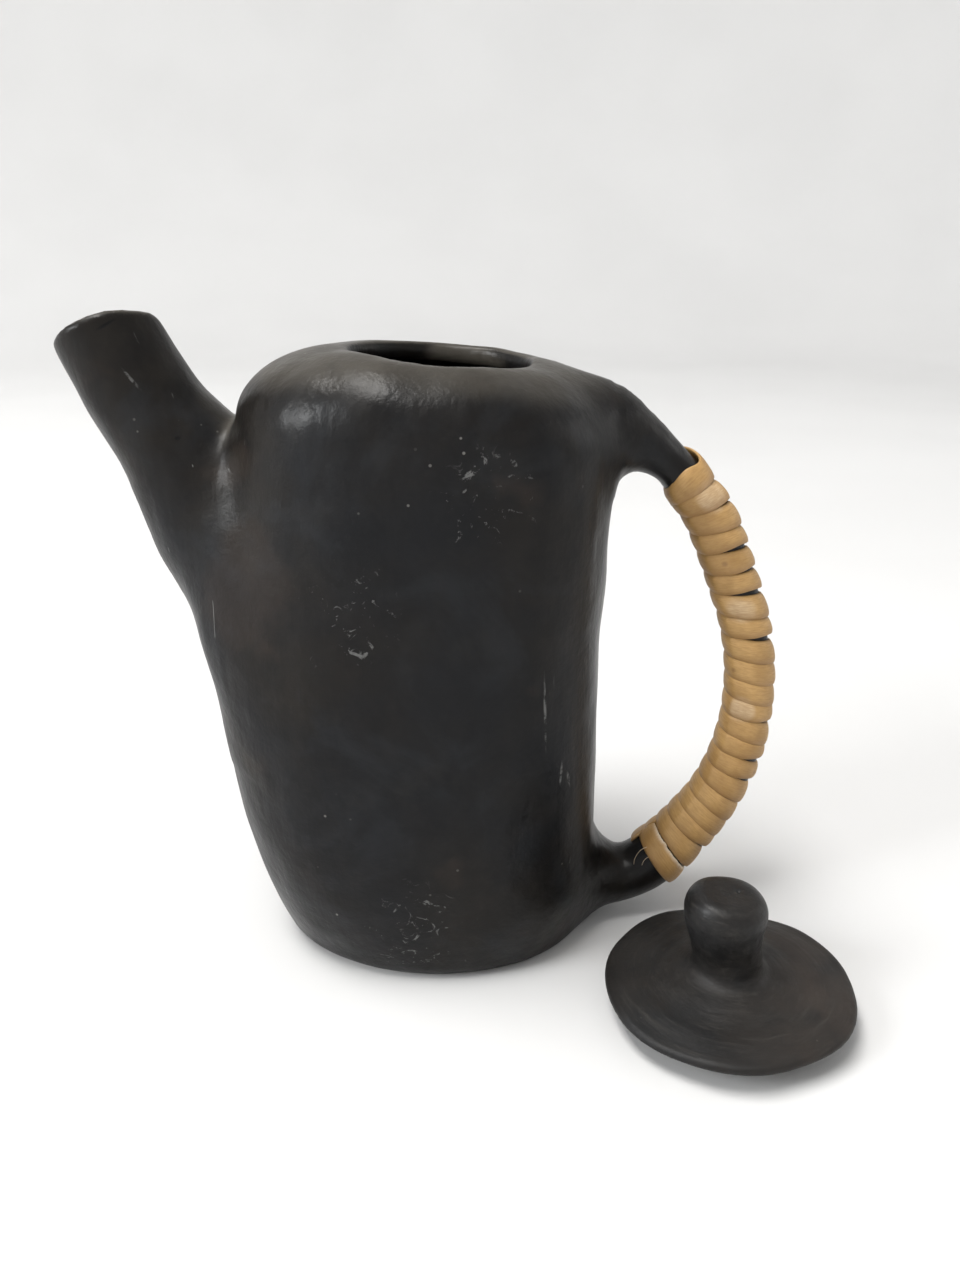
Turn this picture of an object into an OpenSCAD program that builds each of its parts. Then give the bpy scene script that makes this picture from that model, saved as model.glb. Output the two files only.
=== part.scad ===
// Hand-built black clay coffee pot with a slanted spout, a cane-wrapped loop handle and a loose lid.
// +Z is up, +X points from the spout to the handle. The origin is the centre of the flat underside.

/* [Body] */
// Height of the mouth's centre above the table
body_h = 190; // [150:1:230]
// Thickness of the clay wall
wall_t = 6; // [5:0.5:7]
// Thickness of the clay floor
floor_t = 8; // [6:1:10]
// Squareness of the body's plan: 2 is an ellipse, more is squarer
plan_power = 2.3; // [2:0.1:3]

/* [Mouth] */
// Radius of the round mouth
mouth_r = 26; // [24:0.5:27]
// Distance of the mouth's centre from the middle of the base, towards the handle
mouth_x = 3.6; // [0:0.2:5]
// Tilt of the mouth, lower on the handle's side
mouth_tilt = 4.8; // [0:0.2:7]
// Width of the clay ring round the mouth
rim_w = 7; // [6:0.5:8]
// Height of the clay ring round the mouth
rim_h = 8; // [7:0.5:9]

/* [Spout] */
// Thickness of the spout's wall
spout_t = 5; // [4:0.5:6]
// Lean of the cut at the spout's tip, which leaves its front side longer
tip_lean = 13; // [0:1:18]

/* [Handle] */
// Number of turns in the cane wrap, without its two end bands
wrap_turns = 19; // [17:1:19]
// Width of the cane strip
cane_w = 6.5; // [5.5:0.1:6.6]
// Distance from one turn to the next along the handle
cane_pitch = 6.9; // [6.8:0.05:7]
// Thickness of the cane strip
cane_t = 1.6; // [1:0.1:2]

/* [Lid] */
// Radius of the lid's plate
lid_r = 37.5; // [34:0.5:40]
// Thickness of the lid's plate at its edge
lid_edge_t = 4; // [3:0.5:5]
// Outer radius of the locating ring, which drops into the mouth
ring_r = 24.5; // [22:0.5:25]
// Height of the locating ring
ring_h = 7; // [6:0.5:9]
// Width of the locating ring's clay
ring_w = 5.5; // [4:0.5:7]
// Radius of the knob at its widest
knob_r = 12.2; // [10:0.2:14]
// Height of the knob above the lid's plate
knob_h = 28.5; // [26:0.5:34]
// Where the lid lies beside the pot, across
lid_x = 90.8; // [90:0.2:100]
// Where the lid lies beside the pot, towards the front
lid_y = -52.0; // [-70:0.5:-50]
// How far the knob sits off the middle of the lid, away from the handle's side
knob_off = 2.8; // [0:0.2:4]

/* [Hidden] */

clay = "#2b2b2c";
cane = "#b8915f";

// The body's plan at chosen heights: height as a share of body_h, left edge, right edge, half depth.
body_rows = [
  [0.000, -47.0, 48.0, 37.0],
  [0.008, -49.8, 50.2, 39.2],
  [0.030, -52.2, 52.0, 41.8],
  [0.100, -56.8, 53.6, 44.5],
  [0.250, -63.6, 53.4, 46.0],
  [0.450, -66.6, 52.4, 46.0],
  [0.680, -62.6, 53.2, 45.5],
  [0.880, -55.4, 54.4, 44.0],
];
shoulder_z = 0.88 * body_h;
shoulder_h = body_h - shoulder_z;
shoulder_steps = 8;
plan_steps = 56;
row_steps = 4;

// The spout, tip first: outer edge [x, z], inner edge [x, z], half depth.
spout_stations = [
  [-106.4, 191.0, -79.4, 201.4, 14.2],
  [-101.8, 180.0, -72.4, 189.0, 15.0],
  [-96.2, 168.0, -64.4, 176.6, 16.2],
  [-90.8, 154.6, -54.0, 166.0, 18.2],
  [-84.6, 136.5, -42.0, 152.0, 21.0],
  [-77.0, 119.5, -36.0, 134.0, 23.0],
  [-69.0, 103.0, -34.0, 112.0, 23.0],
  [-59.0, 86.0, -32.0, 92.0, 18.0],
];
spout_around = 28;
spout_between = 3;

// The clay loop, from the shoulder to the foot: outer edge [x, z], inner edge [x, z], half depth.
handle_stations = [
  [34.0, 186.0, 44.0, 138.0, 20.0],
  [50.0, 182.4, 56.0, 148.5, 15.0],
  [61.6, 174.4, 62.6, 153.6, 10.5],
  [72.4, 165.8, 69.0, 152.2, 7.8],
  [81.8, 156.4, 73.6, 146.8, 6.9],
  [91.4, 144.4, 79.6, 138.6, 6.8],
  [99.8, 125.0, 87.0, 121.4, 6.8],
  [106.8, 104.0, 93.6, 102.6, 6.8],
  [109.4, 83.4, 96.0, 83.8, 6.8],
  [108.0, 62.0, 94.0, 64.8, 7.2],
  [101.2, 41.6, 87.6, 48.4, 7.6],
  [90.0, 23.6, 77.4, 34.8, 8.4],
  [78.6, 10.6, 68.6, 26.4, 9.6],
  [64.4, 4.4, 61.0, 23.4, 11.0],
  [48.0, 2.6, 46.0, 30.0, 14.0],
];
handle_around = 24;
handle_between = 4;
// How deep the spout's root and the handle's ends are pressed into the clay wall
root_bite = 2.5;
// How much wider than the spout's bore the hole behind it in the wall is, on each side
spout_way = 3.2;

// Where the cane starts, as a distance along the loop's middle line from its upper end
wrap_start = 38.5;
// Gap between the wound part and each end band
band_gap = 0.4;
// How far the end band stands off from the rest
end_gap = 1;
// How deep the cane is pressed into the clay
cane_bite = 0.15;
// Thickness of the strip's tail, and half its width as an angle round the loop
runner_t = 0.8;
runner_half = 24;
runner_steps = 36;
turn_steps = 22;
band_steps = 40;

// A smooth curve through the rows of a list, at a fractional row number.
function held(list, i) = list[max(0, min(len(list) - 1, i))];
function blend(a, b, c, d, t) =
  0.5 * (2 * b + (c - a) * t + (2 * a - 5 * b + 4 * c - d) * t * t + (3 * b - a - 3 * c + d) * t * t * t);
function smooth_at(list, u) =
  let (i = max(0, min(len(list) - 2, floor(u))))
  blend(held(list, i - 1), list[i], list[i + 1], held(list, i + 2), u - i);

// Signed power, which turns a circle's cosine into a squarer plan.
function squared(c) = sign(c) * pow(abs(c), 2 / plan_power);

// Height lost at x because the mouth tilts; it fades out down the body.
function tilt_share(z) = let (t = max(0, min(1, (z / body_h - 0.6) / 0.4))) t * t * (3 - 2 * t);
function tilted(p) = [p[0], p[1], p[2] - tilt_share(p[2]) * (p[0] - mouth_x) * tan(mouth_tilt)];

// One ring of the body at height z, from its left and right edges and half depth.
function ring(z, left, right, depth) = [
  for (i = [0 : plan_steps - 1])
    let (a = 360 * i / plan_steps)
    tilted([(left + right) / 2 + (right - left) / 2 * squared(cos(a)), depth * squared(sin(a)), z])
];
function mix(a, b, t) = a + (b - a) * t;

// The body's rings up to the shoulder, drawn in by inset, and the shoulder's rings up to the mouth.
function wall_rings(inset, from) = [
  for (k = [0 : row_steps * (len(body_rows) - 1)])
    let (r = smooth_at(body_rows, k / row_steps), z = r[0] * body_h)
    if (z >= from) ring(z, r[1] + inset, r[2] - inset, r[3] - inset)
];
function shoulder_rings(inset) =
  let (r = body_rows[len(body_rows) - 1])
  [
    for (k = [1 : shoulder_steps])
      let (a = 90 * k / shoulder_steps, t = 1 - cos(a), z = shoulder_z + (shoulder_h - inset) * sin(a))
      [
        for (i = [0 : plan_steps - 1])
          let (b = 360 * i / plan_steps)
          let (full = [(r[1] + r[2]) / 2 + ((r[2] - r[1]) / 2 - inset) * squared(cos(b)),
                       (r[3] - inset) * squared(sin(b))])
          let (hole = [mouth_x + mouth_r * cos(b), mouth_r * sin(b)])
          tilted([mix(full[0], hole[0], t), mix(full[1], hole[1], t), z])
      ]
  ];

// A closed solid from a stack of rings that all have the same number of points.
module stack(rings) {
  n = len(rings[0]);
  last = len(rings) - 1;
  points = [for (r = rings) each r];
  sides = [
    for (k = [0 : last - 1], i = [0 : n - 1])
      let (j = (i + 1) % n, a = k * n + i, b = k * n + j, c = (k + 1) * n + j, d = (k + 1) * n + i)
      each [[a, c, b], [a, d, c]]
  ];
  bottom = [for (i = [0 : n - 1]) i];
  top = [for (i = [n - 1 : -1 : 0]) last * n + i];
  polyhedron(points, concat(sides, [bottom, top]));
}

// The whole body drawn in by inset, from a given height up; its underside may be dropped to cut clear.
module body_solid(inset, from, drop = 0) {
  r = smooth_row_at(from);
  first = [for (p = ring(from, r[1] + inset, r[2] - inset, r[3] - inset)) p - [0, 0, drop]];
  stack(concat([first], wall_rings(inset, from + 1), shoulder_rings(inset)));
}
function row_number(z) =
  let (below = [for (i = [0 : len(body_rows) - 2]) if (body_rows[i][0] * body_h <= z) i])
  let (i = below[len(below) - 1])
  i + (z / body_h - body_rows[i][0]) / (body_rows[i + 1][0] - body_rows[i][0]);
function smooth_row_at(z) = smooth_at(body_rows, row_number(z));

// A limb, such as the spout or the handle: ovals between an outer and an inner edge line.
function limb_point(s, a, grow, lean = 0) =
  let (outer = [s[0], s[1]], inner = [s[2], s[3]], half = norm(outer - inner) / 2)
  let (along = (outer - inner) / (2 * half), c = (outer + inner) / 2, y = (s[4] + grow) * sin(a))
  let (p = c + along * (half + grow) * cos(a) + [-along[1], along[0]] * y * tan(lean))
  [p[0], y, p[1]];
function limb_rings(stations, around, between, grow, lean = 0) = [
  for (k = [0 : between * (len(stations) - 1)])
    let (u = k / between, s = smooth_at(stations, u), leaning = lean * max(0, 1 - u / 2))
    [for (i = [0 : around - 1]) limb_point(s, 360 * i / around, grow, leaning)]
];

// A disc-shaped slice of a limb, hulled to the next one to make a bore.
module limb_slices(stations, around, between, grow, lean = 0) {
  rings = limb_rings(stations, around, between, grow, lean);
  for (k = [0 : len(rings) - 2]) hull() {
    slice(rings[k]);
    slice(rings[k + 1]);
  }
}
module slice(points) {
  n = len(points);
  polyhedron(concat(points, [for (p = points) p + [0.004, 0, -0.004]]),
             concat([[for (i = [0 : n - 1]) i]],
                    [[for (i = [n - 1 : -1 : 0]) n + i]],
                    [for (i = [0 : n - 1]) [i, n + i, n + (i + 1) % n, (i + 1) % n]]));
}

// The flat floor of the pot
module base_slab() {
  color(clay) stack(floor_rings());
}
function floor_rings() =
  let (top = smooth_row_at(floor_t))
  concat([for (k = [0 : 2 * row_steps])
            let (r = smooth_at(body_rows, k / row_steps)) ring(r[0] * body_h, r[1], r[2], r[3])],
         [ring(floor_t, top[1], top[2], top[3])]);

// The mouth's own frame: its origin at the mouth's centre, +Z straight out of it
module at_mouth() {
  translate([mouth_x, 0, body_h]) rotate([0, mouth_tilt, 0]) children();
}

// Room for the ring round the mouth
module rim_room() {
  at_mouth() translate([0, 0, -20]) cylinder(r = (mouth_r + rim_w) / cos(180 / 64), h = 40, $fn = 64);
}

// The hollow body wall, open at the mouth and into the spout
module pot_wall() {
  color(clay) difference() {
    body_solid(0, floor_t);
    body_solid(wall_t, floor_t, 2);
    rim_room();
    limb_slices(spout_stations, spout_around, 2, spout_way - spout_t);
  }
}

// The ring round the mouth, with a true round bore
module mouth_rim() {
  outer = mouth_r + rim_w;
  color(clay) at_mouth() rotate_extrude($fn = 96)
    polygon([[mouth_r, -rim_h], [outer, -rim_h], [outer, -1.2], [outer - 2.5, -0.2],
             [mouth_r + 2, 0], [mouth_r + 0.6, -0.3], [mouth_r, -1]]);
}

// The hollow spout, its root pressed into the wall
module spout() {
  color(clay) difference() {
    limb_slices(spout_stations, spout_around, spout_between, 0, tip_lean);
    limb_slices(opened(spout_stations), spout_around, spout_between, -spout_t, tip_lean);
    body_solid(root_bite, 0);
  }
}
// The same stations with the tip carried on past the cut, so that the bore runs right through
function opened(stations) =
  let (a = stations[0], b = stations[1])
  concat([a + (a - b) * 0.3], [for (i = [1 : len(stations) - 1]) stations[i]]);

// The clay loop, its ends pressed into the wall
module handle() {
  color(clay) difference() {
    stack(limb_rings(handle_stations, handle_around, handle_between, 0));
    body_solid(root_bite, 0);
    rim_room();
    below_table();
  }
}
// Blocks under the table, cut away so that nothing of the loop reaches below it
module below_table() {
  for (i = [0 : 8]) hull() {
    translate([30 + 8 * i, -30, -12]) cube([8, 60, 12]);
    translate([31 + 8 * i, -29, -13]) cube([6, 58, 2]);
  }
}

// Distances along the loop's middle line, so that the cane's turns are evenly spaced.
loop_samples = 280;
function loop_u(i) = (len(handle_stations) - 1) * i / loop_samples;
function loop_mid(u) = let (s = smooth_at(handle_stations, u)) [(s[0] + s[2]) / 2, (s[1] + s[3]) / 2];
loop_mids = [for (i = [0 : loop_samples]) loop_mid(loop_u(i))];
loop_lengths = [
  for (i = 0, d = 0; i <= loop_samples; d = d + norm(held(loop_mids, i + 1) - loop_mids[i]), i = i + 1)
    [d, loop_u(i)]
];
function cane_point(d, a, grow) = limb_point(smooth_at(handle_stations, lookup(d, loop_lengths)), a, grow);

// The turns ride over the runner on the inner side of the loop.
function over_runner(a) =
  let (off = abs(((a % 360) + 360) % 360 - 180))
  max(0, min(1, (62 - off) / 24)) * runner_t;

// A strip of cane wound round the loop, between two angles, from a distance along it
module winding(start, pitch, turns, width, thick, steps) {
  count = ceil(turns * steps);
  points = [
    for (i = [0 : count])
      let (a = 360 * turns * i / count, d = start + pitch * turns * i / count)
      let (lift = over_runner(a) - cane_bite)
      each [cane_point(d - width / 2, a, lift), cane_point(d + width / 2, a, lift),
            cane_point(d + width / 2, a, lift + thick * 0.7), cane_point(d, a, lift + thick),
            cane_point(d - width / 2, a, lift + thick * 0.7)]
  ];
  sides = [
    for (i = [0 : count - 1], j = [0 : 4])
      let (k = (j + 1) % 5, a = 5 * i + j, b = 5 * i + k)
      each [[a, b + 5, b], [a, a + 5, b + 5]]
  ];
  last = 5 * count;
  polyhedron(points, concat(sides, [[0, 1, 2, 3, 4], [last + 4, last + 3, last + 2, last + 1, last]]));
}

// One closed band of cane round the loop
module band(d, width, thick) {
  points = [
    for (i = [0 : band_steps - 1])
      let (a = 360 * i / band_steps, lift = over_runner(a) - cane_bite)
      each [cane_point(d - width / 2, a, lift), cane_point(d + width / 2, a, lift),
            cane_point(d + width / 2, a, lift + thick), cane_point(d - width / 2, a, lift + thick)]
  ];
  n = 4 * band_steps;
  sides = [
    for (i = [0 : band_steps - 1], j = [0 : 3])
      let (k = (j + 1) % 4, a = 4 * i + j, b = 4 * i + k)
      each [[a, (b + 4) % n, b], [a, (a + 4) % n, (b + 4) % n]]
  ];
  polyhedron(points, sides);
}

top_band_at = wrap_start + cane_w / 2;
turns_start = top_band_at + cane_w + band_gap;
turns_end = turns_start + wrap_turns * cane_pitch;
end_band_at = turns_end + cane_w + end_gap;

// The wound turns
module cane_wrap() {
  color(cane) winding(turns_start, cane_pitch, wrap_turns, cane_w, cane_t, turn_steps);
}

// The first turn, which closes the upper end
module cane_top_band() {
  color(cane) band(top_band_at, cane_w, cane_t);
}

// The last turn, a little apart, with the strip's torn end
module cane_end_band() {
  color(cane) band(end_band_at, cane_w, cane_t);
}

// The strip's tail, laid along the loop under the turns
module cane_runner() {
  from = top_band_at + 1;
  to = end_band_at - 1;
  across = 4;
  n = 2 * (across + 1);
  points = [
    for (i = [0 : runner_steps])
      let (d = from + (to - from) * i / runner_steps)
      each [
        for (j = [0 : n - 1])
          let (k = j <= across ? j : n - 1 - j, a = 180 + runner_half * (2 * k / across - 1))
          cane_point(d, a, (j <= across ? 0 : runner_t) - cane_bite)
      ]
  ];
  sides = [
    for (i = [0 : runner_steps - 1], j = [0 : n - 1])
      let (k = (j + 1) % n, a = n * i + j, b = n * i + k)
      each [[a, b, b + n], [a, b + n, a + n]]
  ];
  first_end = [for (j = [n - 1 : -1 : 0]) j];
  last_end = [for (j = [0 : n - 1]) n * runner_steps + j];
  color(cane) polyhedron(points, concat(sides, [first_end, last_end]));
}

// The lid's own frame: its origin on the table under the lid's centre
module at_lid() {
  translate([lid_x, lid_y, 0]) children();
}
// How much higher the plate is at the knob's foot than at its edge
lid_crown = 3;
// Radius of the knob's waist
neck_r = knob_r - 2;
plate_top = ring_h + lid_edge_t;
knob_foot = plate_top + lid_crown;

// The lid's round plate, a little higher in the middle
module lid_disc() {
  color(clay) at_lid() rotate_extrude($fn = 96)
    polygon([[0, ring_h], [lid_r - 1.5, ring_h], [lid_r - 0.3, ring_h + 1], [lid_r, ring_h + 2],
             [lid_r - 0.5, plate_top - 0.8], [lid_r - 2, plate_top],
             [neck_r + 8, plate_top + lid_crown * 0.6], [neck_r + 1, knob_foot], [0, knob_foot]]);
}

// The stub knob
module lid_knob() {
  color(clay) at_lid() translate([-knob_off, 0, knob_foot]) rotate_extrude($fn = 64)
    polygon([[0, 0], [neck_r + 0.6, 0], [neck_r, 3], [neck_r + 0.8, knob_h * 0.4], [knob_r, knob_h * 0.62],
             [knob_r - 0.3, knob_h * 0.8], [knob_r - 2.4, knob_h * 0.93], [knob_r - 6, knob_h * 0.99],
             [0, knob_h]]);
}

// The locating ring under the plate
module lid_ring() {
  color(clay) at_lid() difference() {
    cylinder(r = ring_r, h = ring_h, $fn = 96);
    translate([0, 0, -1]) cylinder(r = ring_r - ring_w, h = ring_h + 2, $fn = 96);
  }
}

base_slab();
pot_wall();
mouth_rim();
spout();
handle();
cane_runner();
cane_wrap();
cane_top_band();
cane_end_band();
lid_disc();
lid_knob();
lid_ring();
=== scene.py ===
"""A hand-built black clay pot with a slanted spout, a cane-wrapped loop handle and a loose lid.

Shapes are worked out in millimetres and turned into metres when a mesh is made. The clay is one smooth
field, cut into the pot's pieces; the cane is a strip wound round the loop."""

import math

import bmesh
import bpy
import numpy as np
from mathutils import Matrix, Vector


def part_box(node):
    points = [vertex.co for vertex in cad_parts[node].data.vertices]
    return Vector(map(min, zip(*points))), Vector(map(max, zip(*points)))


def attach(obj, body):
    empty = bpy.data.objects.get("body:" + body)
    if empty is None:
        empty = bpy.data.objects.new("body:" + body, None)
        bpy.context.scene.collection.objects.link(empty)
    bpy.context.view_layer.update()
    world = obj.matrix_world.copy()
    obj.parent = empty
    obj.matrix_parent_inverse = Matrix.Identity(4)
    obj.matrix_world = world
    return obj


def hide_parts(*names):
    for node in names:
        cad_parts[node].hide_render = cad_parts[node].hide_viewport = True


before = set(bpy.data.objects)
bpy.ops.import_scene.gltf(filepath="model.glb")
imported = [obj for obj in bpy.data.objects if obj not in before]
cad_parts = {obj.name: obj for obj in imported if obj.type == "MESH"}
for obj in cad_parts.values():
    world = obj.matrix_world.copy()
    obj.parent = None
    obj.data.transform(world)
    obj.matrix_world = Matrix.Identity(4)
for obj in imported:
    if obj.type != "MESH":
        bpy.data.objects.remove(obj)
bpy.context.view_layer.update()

MM = 0.001  # metres in a millimetre
RNG_SEED = 7
FAR = 40.0  # a distance field says no more than this, in millimetres
LEAST_SLOPE = 0.004  # a field flatter than this is divided by this

# ---------------------------------------------------------------- the pot's outline, as in part.scad

BODY_H = 190.0
WALL_T = 6.0
FLOOR_T = 8.0
PLAN_POWER = 2.3
MOUTH_R = 26.0
MOUTH_X = 3.6
MOUTH_TILT = math.radians(4.8)
MOUTH_WAY = 24.0  # how deep the round way through the mouth goes
SPOUT_T = 5.0
TIP_LEAN = math.radians(17)
TIP_HALF = 14.0
TIP_BULGE = 1.3
LIP_ROUND = 2.6
UNDER = 3.0  # how far the clay's field runs on under the table, where it is cut off

# height as a share of the body's height, left edge, right edge, half depth
BODY_ROWS = [
    (0.000, -47.0, 48.0, 37.0),
    (0.008, -49.8, 50.2, 39.2),
    (0.030, -52.2, 52.0, 41.8),
    (0.100, -56.8, 53.6, 44.5),
    (0.250, -63.6, 53.4, 46.0),
    (0.450, -66.6, 52.4, 46.0),
    (0.680, -62.6, 53.2, 45.5),
    (0.880, -55.4, 54.4, 44.0),
]
SHOULDER_Z = 0.88 * BODY_H
SHOULDER_H = BODY_H - SHOULDER_Z
CENTRING_Z = 100.0  # from here up the plan moves across to the mouth's middle
FOOT_Z = 30.0  # below this the plan is a little rounder

# outer edge x, z, inner edge x, z, half depth, from the tip to the root
SPOUT = [
    (-106.4, 191.0, -79.4, 201.4, 14.2),
    (-101.8, 180.0, -72.4, 189.0, 15.0),
    (-96.2, 168.0, -64.4, 176.6, 16.2),
    (-90.8, 154.6, -54.0, 166.0, 18.2),
    (-84.6, 136.5, -42.0, 152.0, 21.0),
    (-77.0, 119.5, -36.0, 134.0, 23.0),
    (-69.0, 103.0, -34.0, 112.0, 23.0),
    (-59.0, 86.0, -32.0, 92.0, 18.0),
]

# the same for the loop handle, from the shoulder to the foot
HANDLE = [
    (34.0, 186.0, 44.0, 138.0, 20.0),
    (50.0, 182.4, 56.0, 148.5, 15.0),
    (61.6, 174.4, 62.6, 153.6, 10.5),
    (72.4, 165.8, 69.0, 152.2, 7.8),
    (81.8, 156.4, 73.6, 146.8, 6.9),
    (91.4, 144.4, 79.6, 138.6, 6.8),
    (99.8, 125.0, 87.0, 121.4, 6.8),
    (106.8, 104.0, 93.6, 102.6, 6.8),
    (109.4, 83.4, 96.0, 83.8, 6.8),
    (108.0, 62.0, 94.0, 64.8, 7.2),
    (101.2, 41.6, 87.6, 48.4, 7.6),
    (90.0, 23.6, 77.4, 34.8, 8.4),
    (78.6, 10.6, 68.6, 26.4, 9.6),
    (64.4, 4.4, 61.0, 23.4, 11.0),
    (48.0, 2.6, 46.0, 30.0, 14.0),
]

# ---------------------------------------------------------------- curves and fields


def smooth_rows(rows, count):
    """The rows joined by a Catmull-Rom curve, sampled evenly by row number."""
    rows = np.array(rows, float)
    last = len(rows) - 1
    u = np.linspace(0, last, count)
    i = np.minimum(u.astype(int), last - 1)
    t = (u - i)[:, None]
    a, b = rows[np.maximum(i - 1, 0)], rows[i]
    c, d = rows[i + 1], rows[np.minimum(i + 2, last)]
    return 0.5 * (2 * b + (c - a) * t + (2 * a - 5 * b + 4 * c - d) * t**2 + (3 * b - a - 3 * c + d) * t**3)


def soft_min(a, b, k):
    """The smaller of two fields, with the corner between them rounded over about k."""
    h = np.clip(0.5 + 0.5 * (b - a) / k, 0, 1)
    return b + (a - b) * h - k * h * (1 - h)


def soft_max(a, b, k):
    return -soft_min(-a, -b, k)


def smoothstep(t):
    t = np.clip(t, 0, 1)
    return t * t * (3 - 2 * t)


class Grid:
    """An even grid of points in millimetres."""

    def __init__(self, low, high, step):
        self.low = np.array(low, float)
        self.step = step
        axes = [np.arange(a, b + step, step) for a, b in zip(low, high)]
        self.x = axes[0][:, None, None]
        self.y = axes[1][None, :, None]
        self.z = axes[2][None, None, :]

    def to_distance(self, f):
        """Divides a field by its slope, which makes it a distance close to where it is nought."""
        slope = np.sqrt(sum(g * g for g in np.gradient(f, self.step)))
        return np.clip(f / np.maximum(slope, LEAST_SLOPE), -FAR, FAR)

    def waves(self, wavelength, count, rng):
        """Soft random waves of about one wavelength, between -1 and 1 or so."""
        total = 0
        for _ in range(count):
            way = rng.normal(size=3)
            way *= 2 * math.pi / (wavelength * rng.uniform(0.8, 1.3) * np.linalg.norm(way))
            phase = rng.uniform(0, 2 * math.pi)
            total = total + np.sin(way[0] * self.x + way[1] * self.y + way[2] * self.z + phase)
        return total / math.sqrt(count)

    def sample(self, f, points):
        """The field's value at any points, between the grid's own."""
        p = (points - self.low) / self.step
        top = np.array(f.shape) - 2
        i = np.clip(np.floor(p).astype(int), 0, top)
        t = np.clip(p - i, 0, 1)
        value = 0
        for corner in np.ndindex(2, 2, 2):
            share = np.ones(len(points))
            for axis in range(3):
                share = share * (t[:, axis] if corner[axis] else 1 - t[:, axis])
            value = value + share * f[i[:, 0] + corner[0], i[:, 1] + corner[1], i[:, 2] + corner[2]]
        return value

    def skin(self, f, rounds=3, evening=0.6):
        """The closed surface where the field is nought: points and quads, evened out and laid on it."""
        points, quads = surface_net(f)
        points = self.low + points * self.step
        slopes = np.gradient(f, self.step)
        edges = np.concatenate([quads[:, [0, 1]], quads[:, [1, 2]], quads[:, [2, 3]], quads[:, [3, 0]]])
        a = np.concatenate([edges[:, 0], edges[:, 1]])
        b = np.concatenate([edges[:, 1], edges[:, 0]])
        degree = np.bincount(a, minlength=len(points))[:, None]
        for _ in range(rounds):
            mean = np.stack([np.bincount(a, points[b, k], len(points)) for k in range(3)], 1) / degree
            points = points + evening * (mean - points)
            points = self.laid_on(f, slopes, points)
        return self.laid_on(f, slopes, points), quads

    def laid_on(self, f, slopes, points):
        """The points moved along the field's slope, by one step at most, to where it is nought."""
        value = self.sample(f, points)
        slope = np.stack([self.sample(g, points) for g in slopes], 1)
        size = np.maximum((slope**2).sum(1), 0.2)
        move = np.clip(value / size, -self.step, self.step)
        return points - move[:, None] * slope


def surface_net(f):
    """A quad mesh of the surface where f is nought, in grid units, by naive surface nets."""
    inside = f < 0
    cells = np.array(f.shape) - 1
    keys, spots, faces = [], [], []
    for axis in range(3):
        low = tuple(slice(0, -1) if k == axis else slice(None) for k in range(3))
        high = tuple(slice(1, None) if k == axis else slice(None) for k in range(3))
        at = np.argwhere(inside[low] != inside[high])
        a, b = f[low][tuple(at.T)], f[high][tuple(at.T)]
        spot = at.astype(float)
        spot[:, axis] += a / (a - b)
        one, two = (axis + 1) % 3, (axis + 2) % 3
        around = []
        for d1, d2 in ((0, 0), (-1, 0), (-1, -1), (0, -1)):
            cell = at.copy()
            cell[:, one] += d1
            cell[:, two] += d2
            around.append((cell[:, 0] * cells[1] + cell[:, 1]) * cells[2] + cell[:, 2])
            keys.append(around[-1])
            spots.append(spot)
        quad = np.stack(around, 1)
        faces.append(np.where((a < 0)[:, None], quad, quad[:, ::-1]))
    keys, spots = np.concatenate(keys), np.concatenate(spots)
    used, index = np.unique(keys, return_inverse=True)
    count = np.bincount(index)
    points = np.stack([np.bincount(index, spots[:, k]) for k in range(3)], 1) / count[:, None]
    return points, np.searchsorted(used, np.concatenate(faces))


# ---------------------------------------------------------------- the pot's clay as a field


def tilt_share(z):
    """How much of the mouth's tilt is felt at a height: none below, all of it at the mouth."""
    return smoothstep((z / BODY_H - 0.6) / 0.4)


def body_field(g, inset):
    """The body, drawn in by inset: squarish in plan, rounding over its shoulder to the tilted mouth."""
    rows = smooth_rows(BODY_ROWS, 300)
    z = g.z + tilt_share(g.z) * (g.x - MOUTH_X) * math.tan(MOUTH_TILT)
    at = rows[:, 0] * BODY_H
    left = np.interp(z, at, rows[:, 1]) + inset
    right = np.interp(z, at, rows[:, 2]) - inset
    depth = np.interp(z, at, rows[:, 3]) - inset
    middle = (left + right) / 2
    middle = middle + (MOUTH_X - middle) * smoothstep((z - CENTRING_Z) / (SHOULDER_Z - CENTRING_Z))
    dx = g.x - middle
    half = np.where(dx < 0, middle - left, right - middle)
    power = PLAN_POWER - 0.3 * smoothstep((FOOT_Z - z) / FOOT_Z)
    gauge = ((np.abs(dx) / half) ** power + (np.abs(g.y) / depth) ** power) ** (1 / power)
    reach = np.sqrt(dx**2 + g.y**2)
    full = reach / np.maximum(gauge, 1e-6)
    q = np.maximum((reach - MOUTH_R) / (full - MOUTH_R), 0)
    s = np.maximum((z - SHOULDER_Z) / (SHOULDER_H - inset), 0)
    return g.to_distance(np.sqrt(q**2 + s**2) - 1)


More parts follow.
